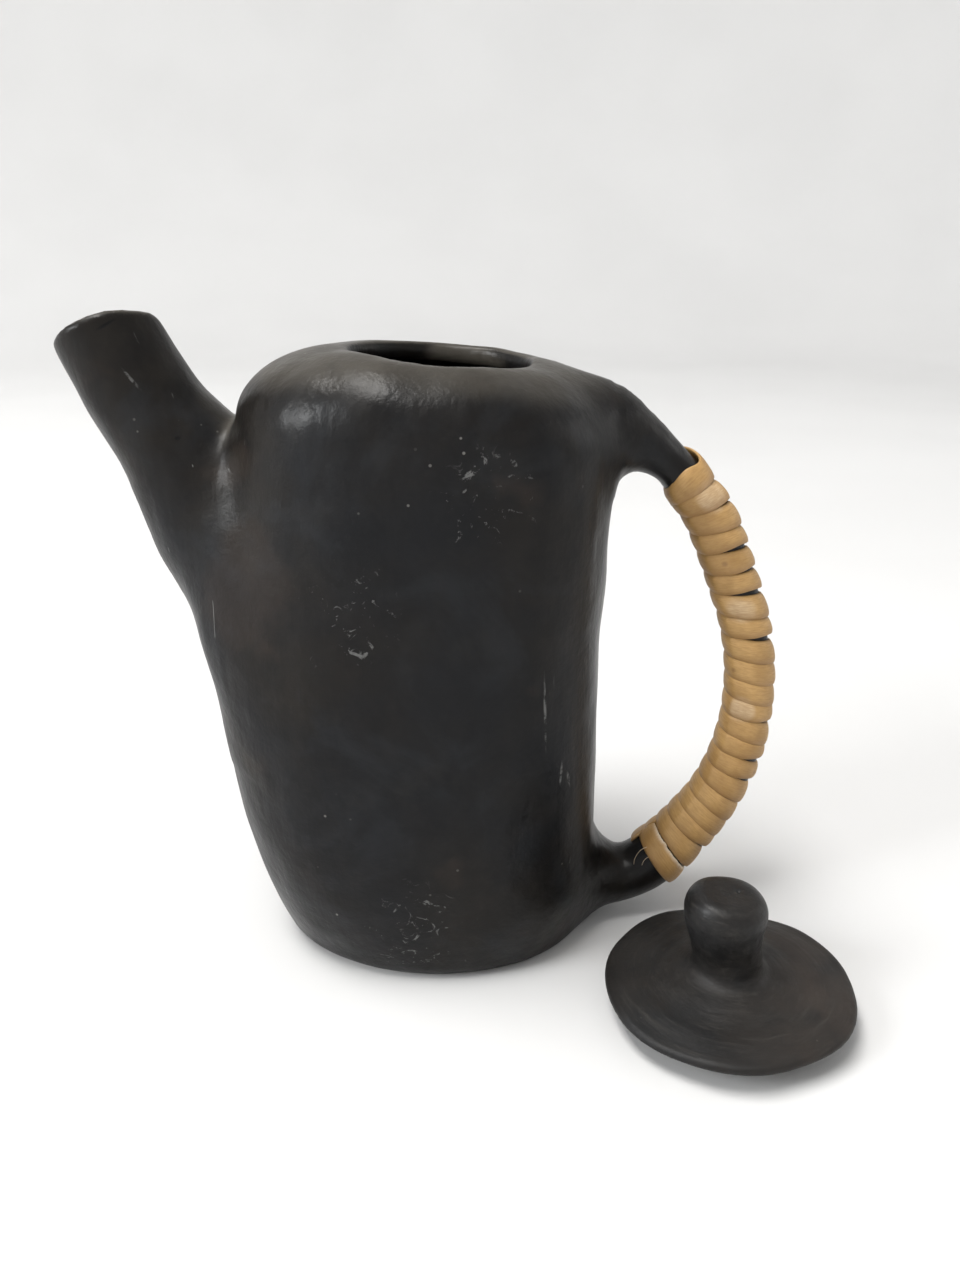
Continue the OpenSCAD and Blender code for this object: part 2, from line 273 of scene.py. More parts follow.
def limb_field(g, stations, inset, run_on):
    """A swept oval limb, drawn in by inset. It runs on past its first station by run_on."""
    rows = smooth_rows(stations, 260)
    outer, inner, depth = rows[:, 0:2], rows[:, 2:4], rows[:, 4]
    mid = (outer + inner) / 2
    way = np.gradient(mid, axis=0)
    way /= np.linalg.norm(way, axis=1)[:, None]
    side = np.stack([-way[:, 1], way[:, 0]], 1)
    half = np.abs(((outer - inner) / 2 * side).sum(1))
    px, pz = g.x[:, 0, 0], g.z[0, 0, :]
    gap = (px[:, None, None] - mid[:, 0]) ** 2 + (pz[None, :, None] - mid[:, 1]) ** 2
    near = gap.argmin(2)
    off = np.stack([px[:, None] - mid[near, 0], pz[None, :] - mid[near, 1]], 2)
    s = np.abs((off * side[near]).sum(2))[:, None, :]
    along = (off * way[near]).sum(2)
    h = np.maximum(half[near] - inset, 1)[:, None, :]
    d = np.maximum(depth[near] - inset, 1)[:, None, :]
    r = np.sqrt((s / h) ** 2 + (g.y / d) ** 2)
    slope = np.sqrt((s / h**2) ** 2 + (g.y / d**2) ** 2) / np.maximum(r, 1e-6)
    body = (r - 1) / np.maximum(slope, 1e-3)
    start = np.where(near == 0, -along, -FAR)[:, None, :] - run_on
    end = np.where(near == len(mid) - 1, along, -FAR)[:, None, :]
    return np.maximum(body, np.maximum(start, end))


def tip_cut(g):
    """Above nought beyond the spout's slanted cut, which bulges up on its front side."""
    outer, inner = np.array(SPOUT[0][0:2]), np.array(SPOUT[0][2:4])
    chord = (inner - outer) / np.linalg.norm(inner - outer)
    out = np.array([-chord[1], chord[0]])
    mid = (outer + inner) / 2
    ahead = (g.x - mid[0]) * out[0] + (g.z - mid[1]) * out[1] + g.y * math.tan(TIP_LEAN)
    across = ((g.x - mid[0]) * chord[0] + (g.z - mid[1]) * chord[1]) / TIP_HALF
    bulge = TIP_BULGE * np.exp(-((across - 0.4) ** 2) / 0.4) * smoothstep((4 - g.y) / TIP_HALF)
    return (ahead - bulge) * math.cos(TIP_LEAN)


def mouth_field(g):
    """The round way in through the mouth."""
    x, z = g.x - MOUTH_X, g.z - BODY_H
    across = x * math.cos(MOUTH_TILT) - z * math.sin(MOUTH_TILT)
    up = x * math.sin(MOUTH_TILT) + z * math.cos(MOUTH_TILT)
    return np.maximum(np.sqrt(across**2 + g.y**2) - MOUTH_R, -up - MOUTH_WAY)


def joined(g, body, spout, handle):
    """Body, spout and handle run together. The blends widen low down and on the spout's two flanks."""
    low = smoothstep((165 - g.z) / 70)
    flank = smoothstep((np.abs(g.y) - 5) / 18)
    shell = soft_min(body, spout, 5 + 7 * low + 9 * flank)
    return soft_min(shell, handle, 7 + 4 * smoothstep((120 - g.z) / 60))


def pot_field(g):
    """All the pot's clay: below nought inside the clay. It runs on a little under the table's face."""
    rng = np.random.default_rng(RNG_SEED)
    spout = soft_max(limb_field(g, SPOUT, 0, run_on=12), tip_cut(g), 3.0)
    shell = joined(g, body_field(g, 0), spout, limb_field(g, HANDLE, 0, run_on=0))
    dents = 0.22 * g.waves(26, 12, rng) + 0.085 * g.waves(13, 16, rng)
    dents = (0.45 + 0.55 * smoothstep((g.z - 90) / 60)) * dents
    shell = shell + 0.40 * g.waves(70, 8, rng) + dents
    cavity = soft_max(body_field(g, WALL_T), FLOOR_T - g.z, 8)
    bore = limb_field(g, SPOUT, SPOUT_T, run_on=14)
    hollow = soft_min(soft_min(cavity, bore, 4), mouth_field(g), 2)
    clay = soft_max(shell, -hollow, LIP_ROUND)
    return np.maximum(clay, -UNDER - g.z)


# ---------------------------------------------------------------- making meshes


def new_object(name, points, faces):
    mesh = bpy.data.meshes.new(name)
    mesh.from_pydata(np.asarray(points).tolist(), [], [list(f) for f in faces])
    mesh.update()
    obj = bpy.data.objects.new(name, mesh)
    bpy.context.scene.collection.objects.link(obj)
    return obj


def box_object(low, high):
    """A cutter: a plain box, in metres."""
    corners = [(x, y, z) for x in (low[0], high[0]) for y in (low[1], high[1]) for z in (low[2], high[2])]
    faces = [(0, 1, 3, 2), (4, 6, 7, 5), (0, 4, 5, 1), (2, 3, 7, 6), (0, 2, 6, 4), (1, 5, 7, 3)]
    return new_object("cutter", corners, faces)


def turned_cutter(radius, low, high, placing, sides=160):
    """A cutter: a round bar along the Z axis of its placing matrix, in metres."""
    mesh = bpy.data.meshes.new("cutter")
    work = bmesh.new()
    depth = high - low
    bmesh.ops.create_cone(work, cap_ends=True, segments=sides, radius1=radius, radius2=radius, depth=depth)
    bmesh.ops.translate(work, verts=work.verts, vec=(0, 0, (low + high) / 2))
    bmesh.ops.transform(work, matrix=placing, verts=work.verts)
    work.to_mesh(mesh)
    work.free()
    obj = bpy.data.objects.new("cutter", mesh)
    bpy.context.scene.collection.objects.link(obj)
    return obj


def cut(obj, cutter, operation):
    """A copy of obj with the cutter taken from it, or with only what is inside the cutter left."""
    piece = obj.copy()
    piece.data = obj.data.copy()
    bpy.context.scene.collection.objects.link(piece)
    step = piece.modifiers.new("cut", "BOOLEAN")
    step.operation = operation
    step.solver = "MANIFOLD"
    step.object = cutter
    bpy.context.view_layer.update()
    graph = bpy.context.evaluated_depsgraph_get()
    done = bpy.data.meshes.new_from_object(piece.evaluated_get(graph))
    piece.modifiers.clear()
    piece.data = done
    return piece


def drop(*objects):
    """Removes objects by removing their meshes."""
    for obj in objects:
        bpy.data.meshes.remove(obj.data)


def shade_from_field(obj, g, f, cap_agreement=0.6):
    """Shades a piece by the field's own slope, so that the seams between clay pieces don't show.
    A face that turns away from the slope is the cap of a cut, and keeps its own flat normal."""
    mesh = obj.data
    count = len(mesh.vertices)
    co = np.empty(count * 3)
    mesh.vertices.foreach_get("co", co)
    co = co.reshape(-1, 3) / MM
    normal = np.stack([g.sample(s, co) for s in np.gradient(f, g.step)], 1)
    normal /= np.maximum(np.linalg.norm(normal, axis=1), 1e-9)[:, None]
    total, faces = len(mesh.loops), len(mesh.polygons)
    corner = np.empty(total, int)
    mesh.loops.foreach_get("vertex_index", corner)
    start, size = np.empty(faces, int), np.empty(faces, int)
    mesh.polygons.foreach_get("loop_start", start)
    mesh.polygons.foreach_get("loop_total", size)
    flat = np.empty(faces * 3)
    mesh.polygons.foreach_get("normal", flat)
    flat = flat.reshape(-1, 3)
    face_of = np.repeat(np.arange(faces), size)
    agree = (normal[corner] * flat[face_of]).sum(1)
    is_cap = np.bincount(face_of, agree, faces) / size < cap_agreement
    mesh.polygons.foreach_set("use_smooth", np.ones(faces, bool))
    chosen = np.where(is_cap[face_of][:, None], flat[face_of], normal[corner])
    mesh.normals_split_custom_set(chosen.tolist())


def finish_piece(obj, name, body, node, material):
    """Names a piece and says which body it rides, which CAD node it replaces and which slot it has."""
    obj.name = name
    obj.data.name = name
    obj.data.materials.clear()
    obj.data.materials.append(material)
    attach(obj, body)
    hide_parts(node)


# ---------------------------------------------------------------- materials


class Nodes:
    """Builds one material's node tree."""

    def __init__(self, name):
        self.material = bpy.data.materials.new(name)
        self.material.use_nodes = True
        self.tree = self.material.node_tree
        self.shader = self.tree.nodes["Principled BSDF"]

    def node(self, kind, **sockets):
        """A new node, with its sockets joined or set by name. An underscore stands for a space."""
        made = self.tree.nodes.new(kind)
        for name, value in sockets.items():
            self.plug(made, name, value)
        return made

    def plug(self, made, name, value):
        socket = made.inputs[name.replace("_", " ")] if isinstance(name, str) else made.inputs[name]
        if isinstance(value, bpy.types.NodeSocket):
            self.tree.links.new(value, socket)
        else:
            socket.default_value = value

    def place(self, scale=(1, 1, 1), shift=(0, 0, 0)):
        """Object coordinates, stretched and moved."""
        coords = self.tree.nodes.new("ShaderNodeTexCoord").outputs["Object"]
        mapping = self.node("ShaderNodeMapping", Vector=coords)
        mapping.inputs["Location"].default_value = shift
        mapping.inputs["Scale"].default_value = scale
        return mapping.outputs["Vector"]

    def noise(self, where, scale, detail=3.0, roughness=0.55, distortion=0.0):
        made = self.node("ShaderNodeTexNoise", Vector=where, Scale=scale, Detail=detail)
        made.inputs["Roughness"].default_value = roughness
        made.inputs["Distortion"].default_value = distortion
        return made.outputs["Fac"]

    def cells(self, where, scale, feature="F1"):
        made = self.tree.nodes.new("ShaderNodeTexVoronoi")
        made.feature = feature
        self.plug(made, "Vector", where)
        self.plug(made, "Scale", scale)
        return made.outputs["Distance"]

    def math(self, operation, a, b):
        made = self.tree.nodes.new("ShaderNodeMath")
        made.operation = operation
        self.plug(made, 0, a)
        self.plug(made, 1, b)
        return made.outputs[0]

    def times(self, a, b):
        return self.math("MULTIPLY", a, b)

    def most(self, a, b):
        return self.math("MAXIMUM", a, b)

    def parts(self, vector):
        """A vector's X, Y and Z sockets."""
        return self.node("ShaderNodeSeparateXYZ", Vector=vector).outputs

    def length(self, vector):
        made = self.tree.nodes.new("ShaderNodeVectorMath")
        made.operation = "LENGTH"
        self.plug(made, 0, vector)
        return made.outputs["Value"]

    def ramp(self, value, low, high, to_low=0.0, to_high=1.0):
        """A smooth step from to_low to to_high while the value goes from low to high."""
        made = self.tree.nodes.new("ShaderNodeMapRange")
        made.interpolation_type = "SMOOTHSTEP"
        self.plug(made, "Value", value)
        self.plug(made, "From Min", low)
        self.plug(made, "From Max", high)
        self.plug(made, "To Min", to_low)
        self.plug(made, "To Max", to_high)
        return made.outputs["Result"]

    def mix(self, share, a, b):
        """Colour a with a share of colour b over it. Each is a socket or three numbers."""
        made = self.tree.nodes.new("ShaderNodeMix")
        made.data_type = "RGBA"
        self.plug(made, 0, share)
        for index, value in ((6, a), (7, b)):
            if isinstance(value, bpy.types.NodeSocket):
                self.tree.links.new(value, made.inputs[index])
            else:
                made.inputs[index].default_value = (*value, 1.0)
        return made.outputs[2]

    def bump(self, layers):
        """Bumps on top of each other: a list of height, strength and depth in metres."""
        normal = None
        for height, strength, depth in layers:
            made = self.node("ShaderNodeBump", Height=height, Strength=strength, Distance=depth)
            if normal is not None:
                self.tree.links.new(normal, made.inputs["Normal"])
            normal = made.outputs["Normal"]
        self.tree.links.new(normal, self.shader.inputs["Normal"])

    def finish(self, colour, roughness):
        self.tree.links.new(colour, self.shader.inputs["Base Color"])
        self.tree.links.new(roughness, self.shader.inputs["Roughness"])
        return self.material


def clay_colour(n, plain, cool, warm, patch_scale, mottle):
    """Blue-grey and brown patches under a fine mottle."""
    colour = n.mix(n.ramp(n.noise(plain, patch_scale, 4), 0.36, 0.64), cool, warm)
    return n.mix(n.ramp(mottle, 0.35, 0.75, 0.0, 0.5), colour, tuple(0.45 * c for c in cool))


def zone(n, plain, centre, radius):
    """One inside a soft ball round a place on the object, with a ragged edge; nought outside."""
    off = n.tree.nodes.new("ShaderNodeVectorMath")
    off.operation = "DISTANCE"
    n.plug(off, 0, plain)
    off.inputs[1].default_value = centre
    ragged = n.times(n.math("SUBTRACT", n.noise(plain, 60, 3), 0.5), radius * 1.2)
    reach = n.math("ADD", off.outputs["Value"], ragged)
    return n.ramp(reach, radius, radius * 0.55)


def zones(n, plain, spots):
    """Several zones together, from a list of centres and radii."""
    share, *others = [zone(n, plain, centre, radius) for centre, radius in spots]
    for other in others:
        share = n.most(share, other)
    return share


# the pot's wear, and a patch of painted light on the mouth's far lip, in metres on the object. Zones are a
# centre and a radius
MARK_DEPTH = 0.012
RUST_ZONE = ((-0.050, -0.030, 0.128), 0.021)
FAR_LIP_PAINTED_LIGHT = ((0.010, 0.027, 0.183), 0.017)
RUBBED = [
    ((-0.021, -0.045, 0.124), 0.017),
    ((0.015, -0.045, 0.155), 0.016),
    ((-0.004, -0.044, 0.022), 0.019),
]
# scratches are a place, a turn from level and half a length
SCRATCHES = [
    ((0.0340, -0.036, 0.092), 1.53, 0.0145),
    ((0.0420, -0.031, 0.067), 1.40, 0.0035),
    ((0.0395, -0.033, 0.070), 1.62, 0.0050),
    ((-0.0817, -0.016, 0.184), 0.90, 0.0045),
    ((-0.0560, -0.028, 0.160), 0.95, 0.0022),
]
SLIT = ((-0.0877, -0.0135, 0.1984), -0.5, 0.0036, 0.0006)
PITS = [(-0.0610, -0.021, 0.172), (-0.0700, -0.020, 0.168)]


def mark(n, centre, turn, half_length, half_width):
    """One on a thin straight scratch on the front side, turned about the Y axis; nought off it."""
    coords = n.tree.nodes.new("ShaderNodeTexCoord").outputs["Object"]
    mapping = n.node("ShaderNodeMapping", Vector=coords)
    mapping.vector_type = "TEXTURE"
    mapping.inputs["Location"].default_value = centre
    mapping.inputs["Rotation"].default_value = (0, turn, 0)
    mapping.inputs["Scale"].default_value = (half_length, MARK_DEPTH, half_width)
    return n.ramp(n.length(mapping.outputs["Vector"]), 1.0, 0.45)


def dust_and_painted_light(n, plain, mottle):
    """Dust together with painted light on what faces up, thin towards the handle, and a patch of painted
    light inside the mouth's far lip.
    """
    # what faces up gets a lighter colour: partly dust, partly painted light on the tops
    up = n.parts(n.tree.nodes.new("ShaderNodeNewGeometry").outputs["Normal"])["Z"]
    dust_and_painted_light_share = n.times(n.ramp(up, 0.55, 0.95, 0.0, 0.62), n.ramp(mottle, 0.2, 0.6, 0.6, 1.0))
    dust_and_painted_light_share = n.times(dust_and_painted_light_share, n.ramp(n.parts(plain)["X"], 0.035, 0.062, 1.0, 0.1))
    # the far lip's patch is painted light
    return n.most(dust_and_painted_light_share, n.times(zone(n, plain, *FAR_LIP_PAINTED_LIGHT), 0.6))


def scuff_marks(n, plain):
    """Rubbed places, stray upright marks and a few scratches."""
    aside = (0.31, 0.12, 0.07)
    worn = n.noise(n.place(shift=aside), 190, 4, 0.7, 1.6)
    upright = n.noise(n.place(scale=(1, 1, 0.22), shift=aside), 300, 2, 0.5, 1.0)
    scuffs = n.times(n.times(n.ramp(worn, 0.60, 0.68), zones(n, plain, RUBBED)), 0.5)
    stray = n.times(n.ramp(upright, 0.735, 0.77), n.ramp(n.noise(plain, 22, 2), 0.56, 0.66))
    scuffs = n.most(scuffs, n.times(stray, 0.6))
    for centre, turn, half_length in SCRATCHES:
        broken = n.ramp(worn, 0.40, 0.62, 0.0, 0.50)
        scuffs = n.most(scuffs, n.times(mark(n, centre, turn, half_length, 0.0005), broken))
    return scuffs


def slit_and_pits_painted_shade(n):
    """The short slit by the spout's tip and two small pits under it: the mask for their bump and for the
    painted shade inside them.
    """
    pits = mark(n, *SLIT)
    for centre in PITS:
        pits = n.most(pits, mark(n, centre, 0, 0.0011, 0.0008))
    return pits


def specks(n, plain, scale, size, patches_at):
    """Small dots, only in patches; patches_at is the patches' noise scale and where it starts to count."""
    patch_scale, start = patches_at
    dots = n.ramp(n.cells(plain, scale), size, 0.05)
    return n.times(dots, n.ramp(n.noise(plain, patch_scale, 2), start, start + 0.1))


def clay_material():
    """Burnished black clay: blue-grey and brown patches, burnishing strokes, scuffs and pale specks, with
    dust and painted light on what faces up and painted shade in a slit and two pits.
    """
    n = Nodes("burnished_black_clay")
    plain = n.place()
    strokes = n.place(scale=(1, 1, 0.16))
    mottle = n.noise(plain, 90, 5, 0.6)
    colour = clay_colour(n, plain, (0.0046, 0.0050, 0.0062), (0.0088, 0.0072, 0.0058), 18, mottle)
    smoky = n.noise(n.place(shift=(0.05, 0.0, 0.09)), 30, 5, 0.62, 0.6)
    colour = n.mix(n.ramp(smoky, 0.50, 0.68, 0.0, 0.45), colour, (0.0150, 0.0168, 0.0195))
    rust = n.times(n.ramp(n.noise(plain, 34, 3), 0.62, 0.74), 0.18)
    rust = n.most(rust, n.times(zone(n, plain, *RUST_ZONE), 0.16))
    colour = n.mix(rust, colour, (0.055, 0.038, 0.028))
    dust_and_painted_light_share = dust_and_painted_light(n, plain, mottle)
    dust = n.ramp(n.noise(plain, 55, 6, 0.7), 0.50, 0.75, 0.0, 0.06)
    # a pale brown-grey: dust, and painted light on the up-facing tops and the far lip
    colour = n.mix(n.most(dust, dust_and_painted_light_share), colour, (0.074, 0.066, 0.054))
    scuffs = scuff_marks(n, plain)
    colour = n.mix(scuffs, colour, (0.21, 0.21, 0.205))
    colour = n.mix(n.times(specks(n, plain, 170, 0.09, (40, 0.58)), 0.45), colour, (0.28, 0.27, 0.25))
    pits = slit_and_pits_painted_shade(n)
    # painted shade: the slit and pits painted near black
    colour = n.mix(pits, colour, (0.002, 0.002, 0.002))
    polish = n.ramp(n.noise(strokes, 70, 4, 0.6), 0.3, 0.7, 0.25, 0.38)
    roughness = n.math("ADD", polish, n.times(n.most(mottle, dust_and_painted_light_share), 0.10))
    n.bump(
        [
            (n.cells(n.place(scale=(1, 1, 0.75)), 66, "SMOOTH_F1"), 0.30, 0.0016),
            (n.noise(plain, 95, 4, 0.55), 0.45, 0.0011),
            (n.noise(strokes, 190, 3, 0.5), 0.35, 0.0006),
            (n.noise(plain, 600, 4, 0.6), 0.22, 0.00025),
            (scuffs, 0.4, 0.0002),
            (n.math("SUBTRACT", 1.0, pits), 0.3, 0.0003),
        ]
    )
    n.shader.inputs["IOR"].default_value = 1.28
    return n.finish(colour, roughness)


def lid_material(centre):
    """The lid's clay: browner, brushed round its middle and nearly matte, with a rubbed knob."""
    n = Nodes("brushed_black_clay")
    at = n.parts(n.place(shift=(-centre[0], -centre[1], 0)))
    reach = n.length(n.node("ShaderNodeCombineXYZ", X=at["X"], Y=at["Y"]).outputs[0])
    turn = n.math("ARCTAN2", at["Y"], at["X"])
    rings = n.node("ShaderNodeCombineXYZ", X=n.times(reach, 9.0), Y=n.times(turn, 0.03))
    n.plug(rings, "Z", n.times(at["Z"], 9.0))
    brushed = n.noise(rings.outputs[0], 60, 4, 0.65)
    plain = n.place()
    mottle = n.noise(plain, 110, 5, 0.6)
    colour = clay_colour(n, plain, (0.0075, 0.0078, 0.0085), (0.0120, 0.0102, 0.0088), 26, mottle)
    brown = n.times(n.ramp(at["X"], -0.01, 0.03), n.ramp(n.noise(plain, 45, 3), 0.35, 0.65))
    colour = n.mix(n.times(brown, 0.5), colour, (0.036, 0.026, 0.020))
    colour = n.mix(n.ramp(brushed, 0.5, 0.75, 0.0, 0.35), colour, (0.045, 0.041, 0.036))
    colour = n.mix(n.times(specks(n, plain, 210, 0.10, (70, 0.6)), 0.4), colour, (0.25, 0.23, 0.20))
    polish = n.ramp(at["Z"], 0.016, 0.026, 0.0, 0.12)
    roughness = n.math("SUBTRACT", n.ramp(brushed, 0.3, 0.7, 0.48, 0.64), polish)
    n.bump(
        [
            (n.cells(plain, 75, "SMOOTH_F1"), 0.55, 0.0022),
            (n.noise(plain, 95, 3), 0.35, 0.0012),
            (brushed, 0.35, 0.0004),
            (n.noise(plain, 700, 4, 0.6), 0.25, 0.0002),
        ]
    )
    n.shader.inputs["IOR"].default_value = 1.36
    return n.finish(colour, roughness)


# pale waxy places on the cane, each a centre and a radius
WAXY = [
    ((0.085, -0.008, 0.149), 0.0065),
    ((0.096, -0.008, 0.113), 0.0055),
    ((0.098, -0.008, 0.079), 0.0055),
]


def cane_material():
    """Split cane: fine lengthwise grain, waxy places, small dark nodes, and painted shade darkening each
    turn towards its lower edge.
    """
    n = Nodes("split_cane")
    strip = n.node("ShaderNodeAttribute")
    strip.attribute_name = "strip"
    at = n.parts(strip.outputs["Vector"])
    grain_at = n.node("ShaderNodeCombineXYZ", X=n.times(at["X"], 0.035), Y=at["Y"])
    grain = n.noise(grain_at.outputs[0], 9, 5, 0.7)
    plain = n.place()
    colour = n.mix(n.ramp(n.noise(plain, 75, 3), 0.3, 0.7), (0.34, 0.195, 0.062), (0.49, 0.300, 0.110))
    colour = n.mix(n.ramp(grain, 0.35, 0.7, 0.0, 0.55), colour, (0.27, 0.140, 0.045))
    wax = n.times(zones(n, plain, WAXY), n.ramp(grain, 0.25, 0.65, 0.55, 0.25))
    colour = n.mix(wax, colour, (0.64, 0.51, 0.36))
    spot = n.times(n.ramp(n.cells(plain, 105), 0.15, 0.04), n.ramp(n.noise(plain, 60, 2), 0.46, 0.56))
    colour = n.mix(n.times(spot, 0.55), colour, (0.16, 0.075, 0.030))
    # painted shade: each turn darker towards its lower edge, as if lit from above
    edge = n.ramp(at["Y"], 0.1, 1.0, 0.0, 0.62)
    colour = n.mix(edge, colour, (0.30, 0.165, 0.065))
    torn = n.times(at["Z"], n.ramp(grain, 0.3, 0.5, 0.5, 1.0))
    colour = n.mix(torn, colour, (0.80, 0.72, 0.58))
    roughness = n.ramp(grain, 0.3, 0.7, 0.42, 0.58)
    n.bump([(grain, 0.5, 0.00025), (n.noise(plain, 420, 3), 0.25, 0.0002)])
    return n.finish(colour, roughness)


def floor_material():
    n = Nodes("pale_floor")
    colour = n.mix(n.ramp(n.noise(n.place(), 3, 2), 0.3, 0.7), (0.60, 0.60, 0.60), (0.62, 0.62, 0.62))
    n.tree.links.new(colour, n.shader.inputs["Base Color"])
    n.shader.inputs["Roughness"].default_value = 0.9
    n.shader.inputs["Specular IOR Level"].default_value = 0.1
    return n.material


# ---------------------------------------------------------------- the pot's pieces

# where the clay is cut into the CAD's pieces; the spout's seam runs through two points, as x and z
SLAB_TOP = 10.0
RIM_W = 7.0
RIM_DEPTH = 9.0
LOOP_X = 57.0
SPOUT_SEAM = ((-58.6, 176.0), (-70.0, 92.0))
POT_STEP = 1.35  # the clay's grid


def mouth_frame():
    turn = Matrix.Rotation(MOUTH_TILT, 4, "Y")
    return Matrix.Translation(Vector((MOUTH_X, 0, BODY_H)) * MM) @ turn


def spout_cutter():
    """A box on the spout's side of the seam's plane."""
    top, low = (Vector((p[0], 0, p[1])) * MM for p in SPOUT_SEAM)
    up = (top - low).normalized()
    out = Vector((-up.z, 0, up.x))
    back = Vector((0, 1, 0))
    size = 0.16
    cutter = box_object((0, -size, -size), (size, size, size))
    turn = Matrix((out, back, out.cross(back))).transposed().to_4x4()
    cutter.data.transform(Matrix.Translation((top + low) / 2) @ turn)
    return cutter


def make_pot(clay):
    """The clay as one skin, cut into five pieces along the CAD's seams."""
    g = Grid((-114, -52, -6), (114, 52, 209), POT_STEP)
    f = pot_field(g)
    points, quads = g.skin(f)
    whole = new_object("whole", points * MM, quads)
    wide = 0.5
    cutters = {
        "under": box_object((-wide, -wide, -wide), (wide, wide, 0)),
        "base_slab": box_object((-wide, -wide, -wide), (wide, wide, SLAB_TOP * MM)),
        "handle": box_object((LOOP_X * MM, -wide, -wide), (wide, wide, wide)),
        "spout": spout_cutter(),
        "mouth_rim": turned_cutter((MOUTH_R + RIM_W) * MM, -RIM_DEPTH * MM, 0.03, mouth_frame()),
    }
    rest = cut(whole, cutters["under"], "DIFFERENCE")
    drop(whole)
    made = {}
    for name in ("handle", "spout", "base_slab", "mouth_rim"):
        made[name] = cut(rest, cutters[name], "INTERSECT")
        smaller = cut(rest, cutters[name], "DIFFERENCE")
        drop(rest)
        rest = smaller
    made["pot_wall"] = rest
    drop(*cutters.values())
    for name, obj in made.items():
        shade_from_field(obj, g, f)
        finish_piece(obj, name + "_clay", "pot", name, clay)


# ---------------------------------------------------------------- the cane on the loop

PITCH = 7.0
TURNS = 19
STRIP_W = 8.2
STRIP_T = 1.35
SINK = 0.50  # how far the strip's underside lies inside the clay
WRAP_START = 38.5
CAD_STRIP_W = 6.5
TOP_BAND_AT = WRAP_START + CAD_STRIP_W / 2
TURNS_START = TOP_BAND_AT + CAD_STRIP_W + 0.4
TURNS_END = TURNS_START + TURNS * PITCH
END_BAND_AT = TURNS_END + CAD_STRIP_W + 1.0
RUNNER_T = 0.8
INNER_SIDE = math.pi  # the angle round the loop at which the strip's tail lies and each turn starts
UNDER_POINTS = 5
GRAIN_TURN = 50.0  # the length of strip in a turn, for its grain

# where a turn leaves a gap under it, and how wide the gap is
GAPS = [(0.38, 0.8), (2.37, 2.4), (3.44, 1.8), (4.36, 2.0), (6.40, 1.9), (10.44, 1.9)]
GAPS += [(12.42, 2.4), (13.42, 2.3), (17.40, 2.3)]


class Loop:
    """The loop's middle line by length, with its oval at every place."""

    def __init__(self):
        rows = smooth_rows(HANDLE, 900)
        outer, inner = rows[:, 0:2], rows[:, 2:4]
        self.mid = (outer + inner) / 2
        self.half = np.linalg.norm(outer - inner, axis=1) / 2
        self.side = (outer - inner) / (2 * self.half[:, None])
        self.depth = rows[:, 4]
        steps = np.linalg.norm(np.diff(self.mid, axis=0), axis=1)
        self.at = np.concatenate([[0], np.cumsum(steps)])
        way = np.gradient(self.mid, self.at, axis=0)
        turn = np.gradient(np.unwrap(np.arctan2(way[:, 1], way[:, 0])), self.at)
        self.bend = np.abs(turn)

    def read(self, values, d):
        """One of the lists above, at distance d along the middle line."""
        return np.interp(d, self.at, values)

    def stretch(self, d, a):
        """How much longer the surface is than the middle line, at angle a: more than one on the outside."""
        return 1 + self.read(self.bend, d) * self.read(self.half, d) * np.cos(a)

    def point(self, d, a, grow):
        """A place at distance d and angle a, lying above the oval by grow."""
        side = np.stack([self.read(self.side[:, k], d) for k in (0, 1)], -1)
        mid = np.stack([self.read(self.mid[:, k], d) for k in (0, 1)], -1)
        out = (self.read(self.half, d) + grow) * np.cos(a)
        y = (self.read(self.depth, d) + grow) * np.sin(a)
        return np.stack([mid[..., 0] + side[..., 0] * out, y, mid[..., 1] + side[..., 1] * out], -1)


def over_runner(a):
    """How far a turn is lifted at angle a to pass over the strip's tail."""
    off = np.abs(np.degrees(a) % 360 - 180)
    return np.clip((62 - off) / 24, 0, 1) * RUNNER_T


def soft_random(t, periods, rng):
    """A smooth random curve made of a few waves."""
    total = 0
    for period in periods:
        total = total + np.sin(2 * math.pi * t / period + rng.uniform(0, 2 * math.pi))
    return total / math.sqrt(len(periods))


def section_shares(across):
    """Places round a strip's section: the share across it, and how far up its thickness."""
    over = [(w, 1.0) for w in np.linspace(-0.94, 0.94, across)]
    under = [(w, 0.0) for w in np.linspace(0.94, -0.94, UNDER_POINTS)]
    return np.array(over + [(1.0, 0.55)] + under + [(-1.0, 0.55)])


def strip_mesh(name, points, along, across, torn):
    """A tube mesh with closed ends from rows of section points. Its strip attribute holds the place
    along and across the strip, and how torn it is there."""
    rows, n = points.shape[0], points.shape[1]
    faces = [tuple(range(n - 1, -1, -1)), tuple((rows - 1) * n + j for j in range(n))]
    for a in range(0, (rows - 1) * n, n):
        faces += [(a + j, a + (j + 1) % n, a + n + (j + 1) % n, a + n + j) for j in range(n)]
    obj = new_object(name, points.reshape(-1, 3) * MM, faces)
    data = np.zeros((rows, n, 3))
    data[..., 0], data[..., 1], data[..., 2] = along, across, torn
    attribute = obj.data.attributes.new("strip", "FLOAT_VECTOR", "POINT")
    attribute.data.foreach_set("vector", data.astype(np.float32).ravel())
    work = bmesh.new()
    work.from_mesh(obj.data)
    bmesh.ops.recalc_face_normals(work, faces=work.faces)
    work.to_mesh(obj.data)
    work.free()
    obj.data.polygons.foreach_set("use_smooth", np.ones(len(obj.data.polygons), bool))
    return obj


def strip_section(w, a, thick):
    """The strip's thickness across it: a cushion, thinner at its edges and pressed flat inside the loop."""
    inner = 0.5 - 0.5 * np.cos(a)
    return thick * (1 - (0.50 + 0.32 * inner) * np.abs(w) ** 2.8)


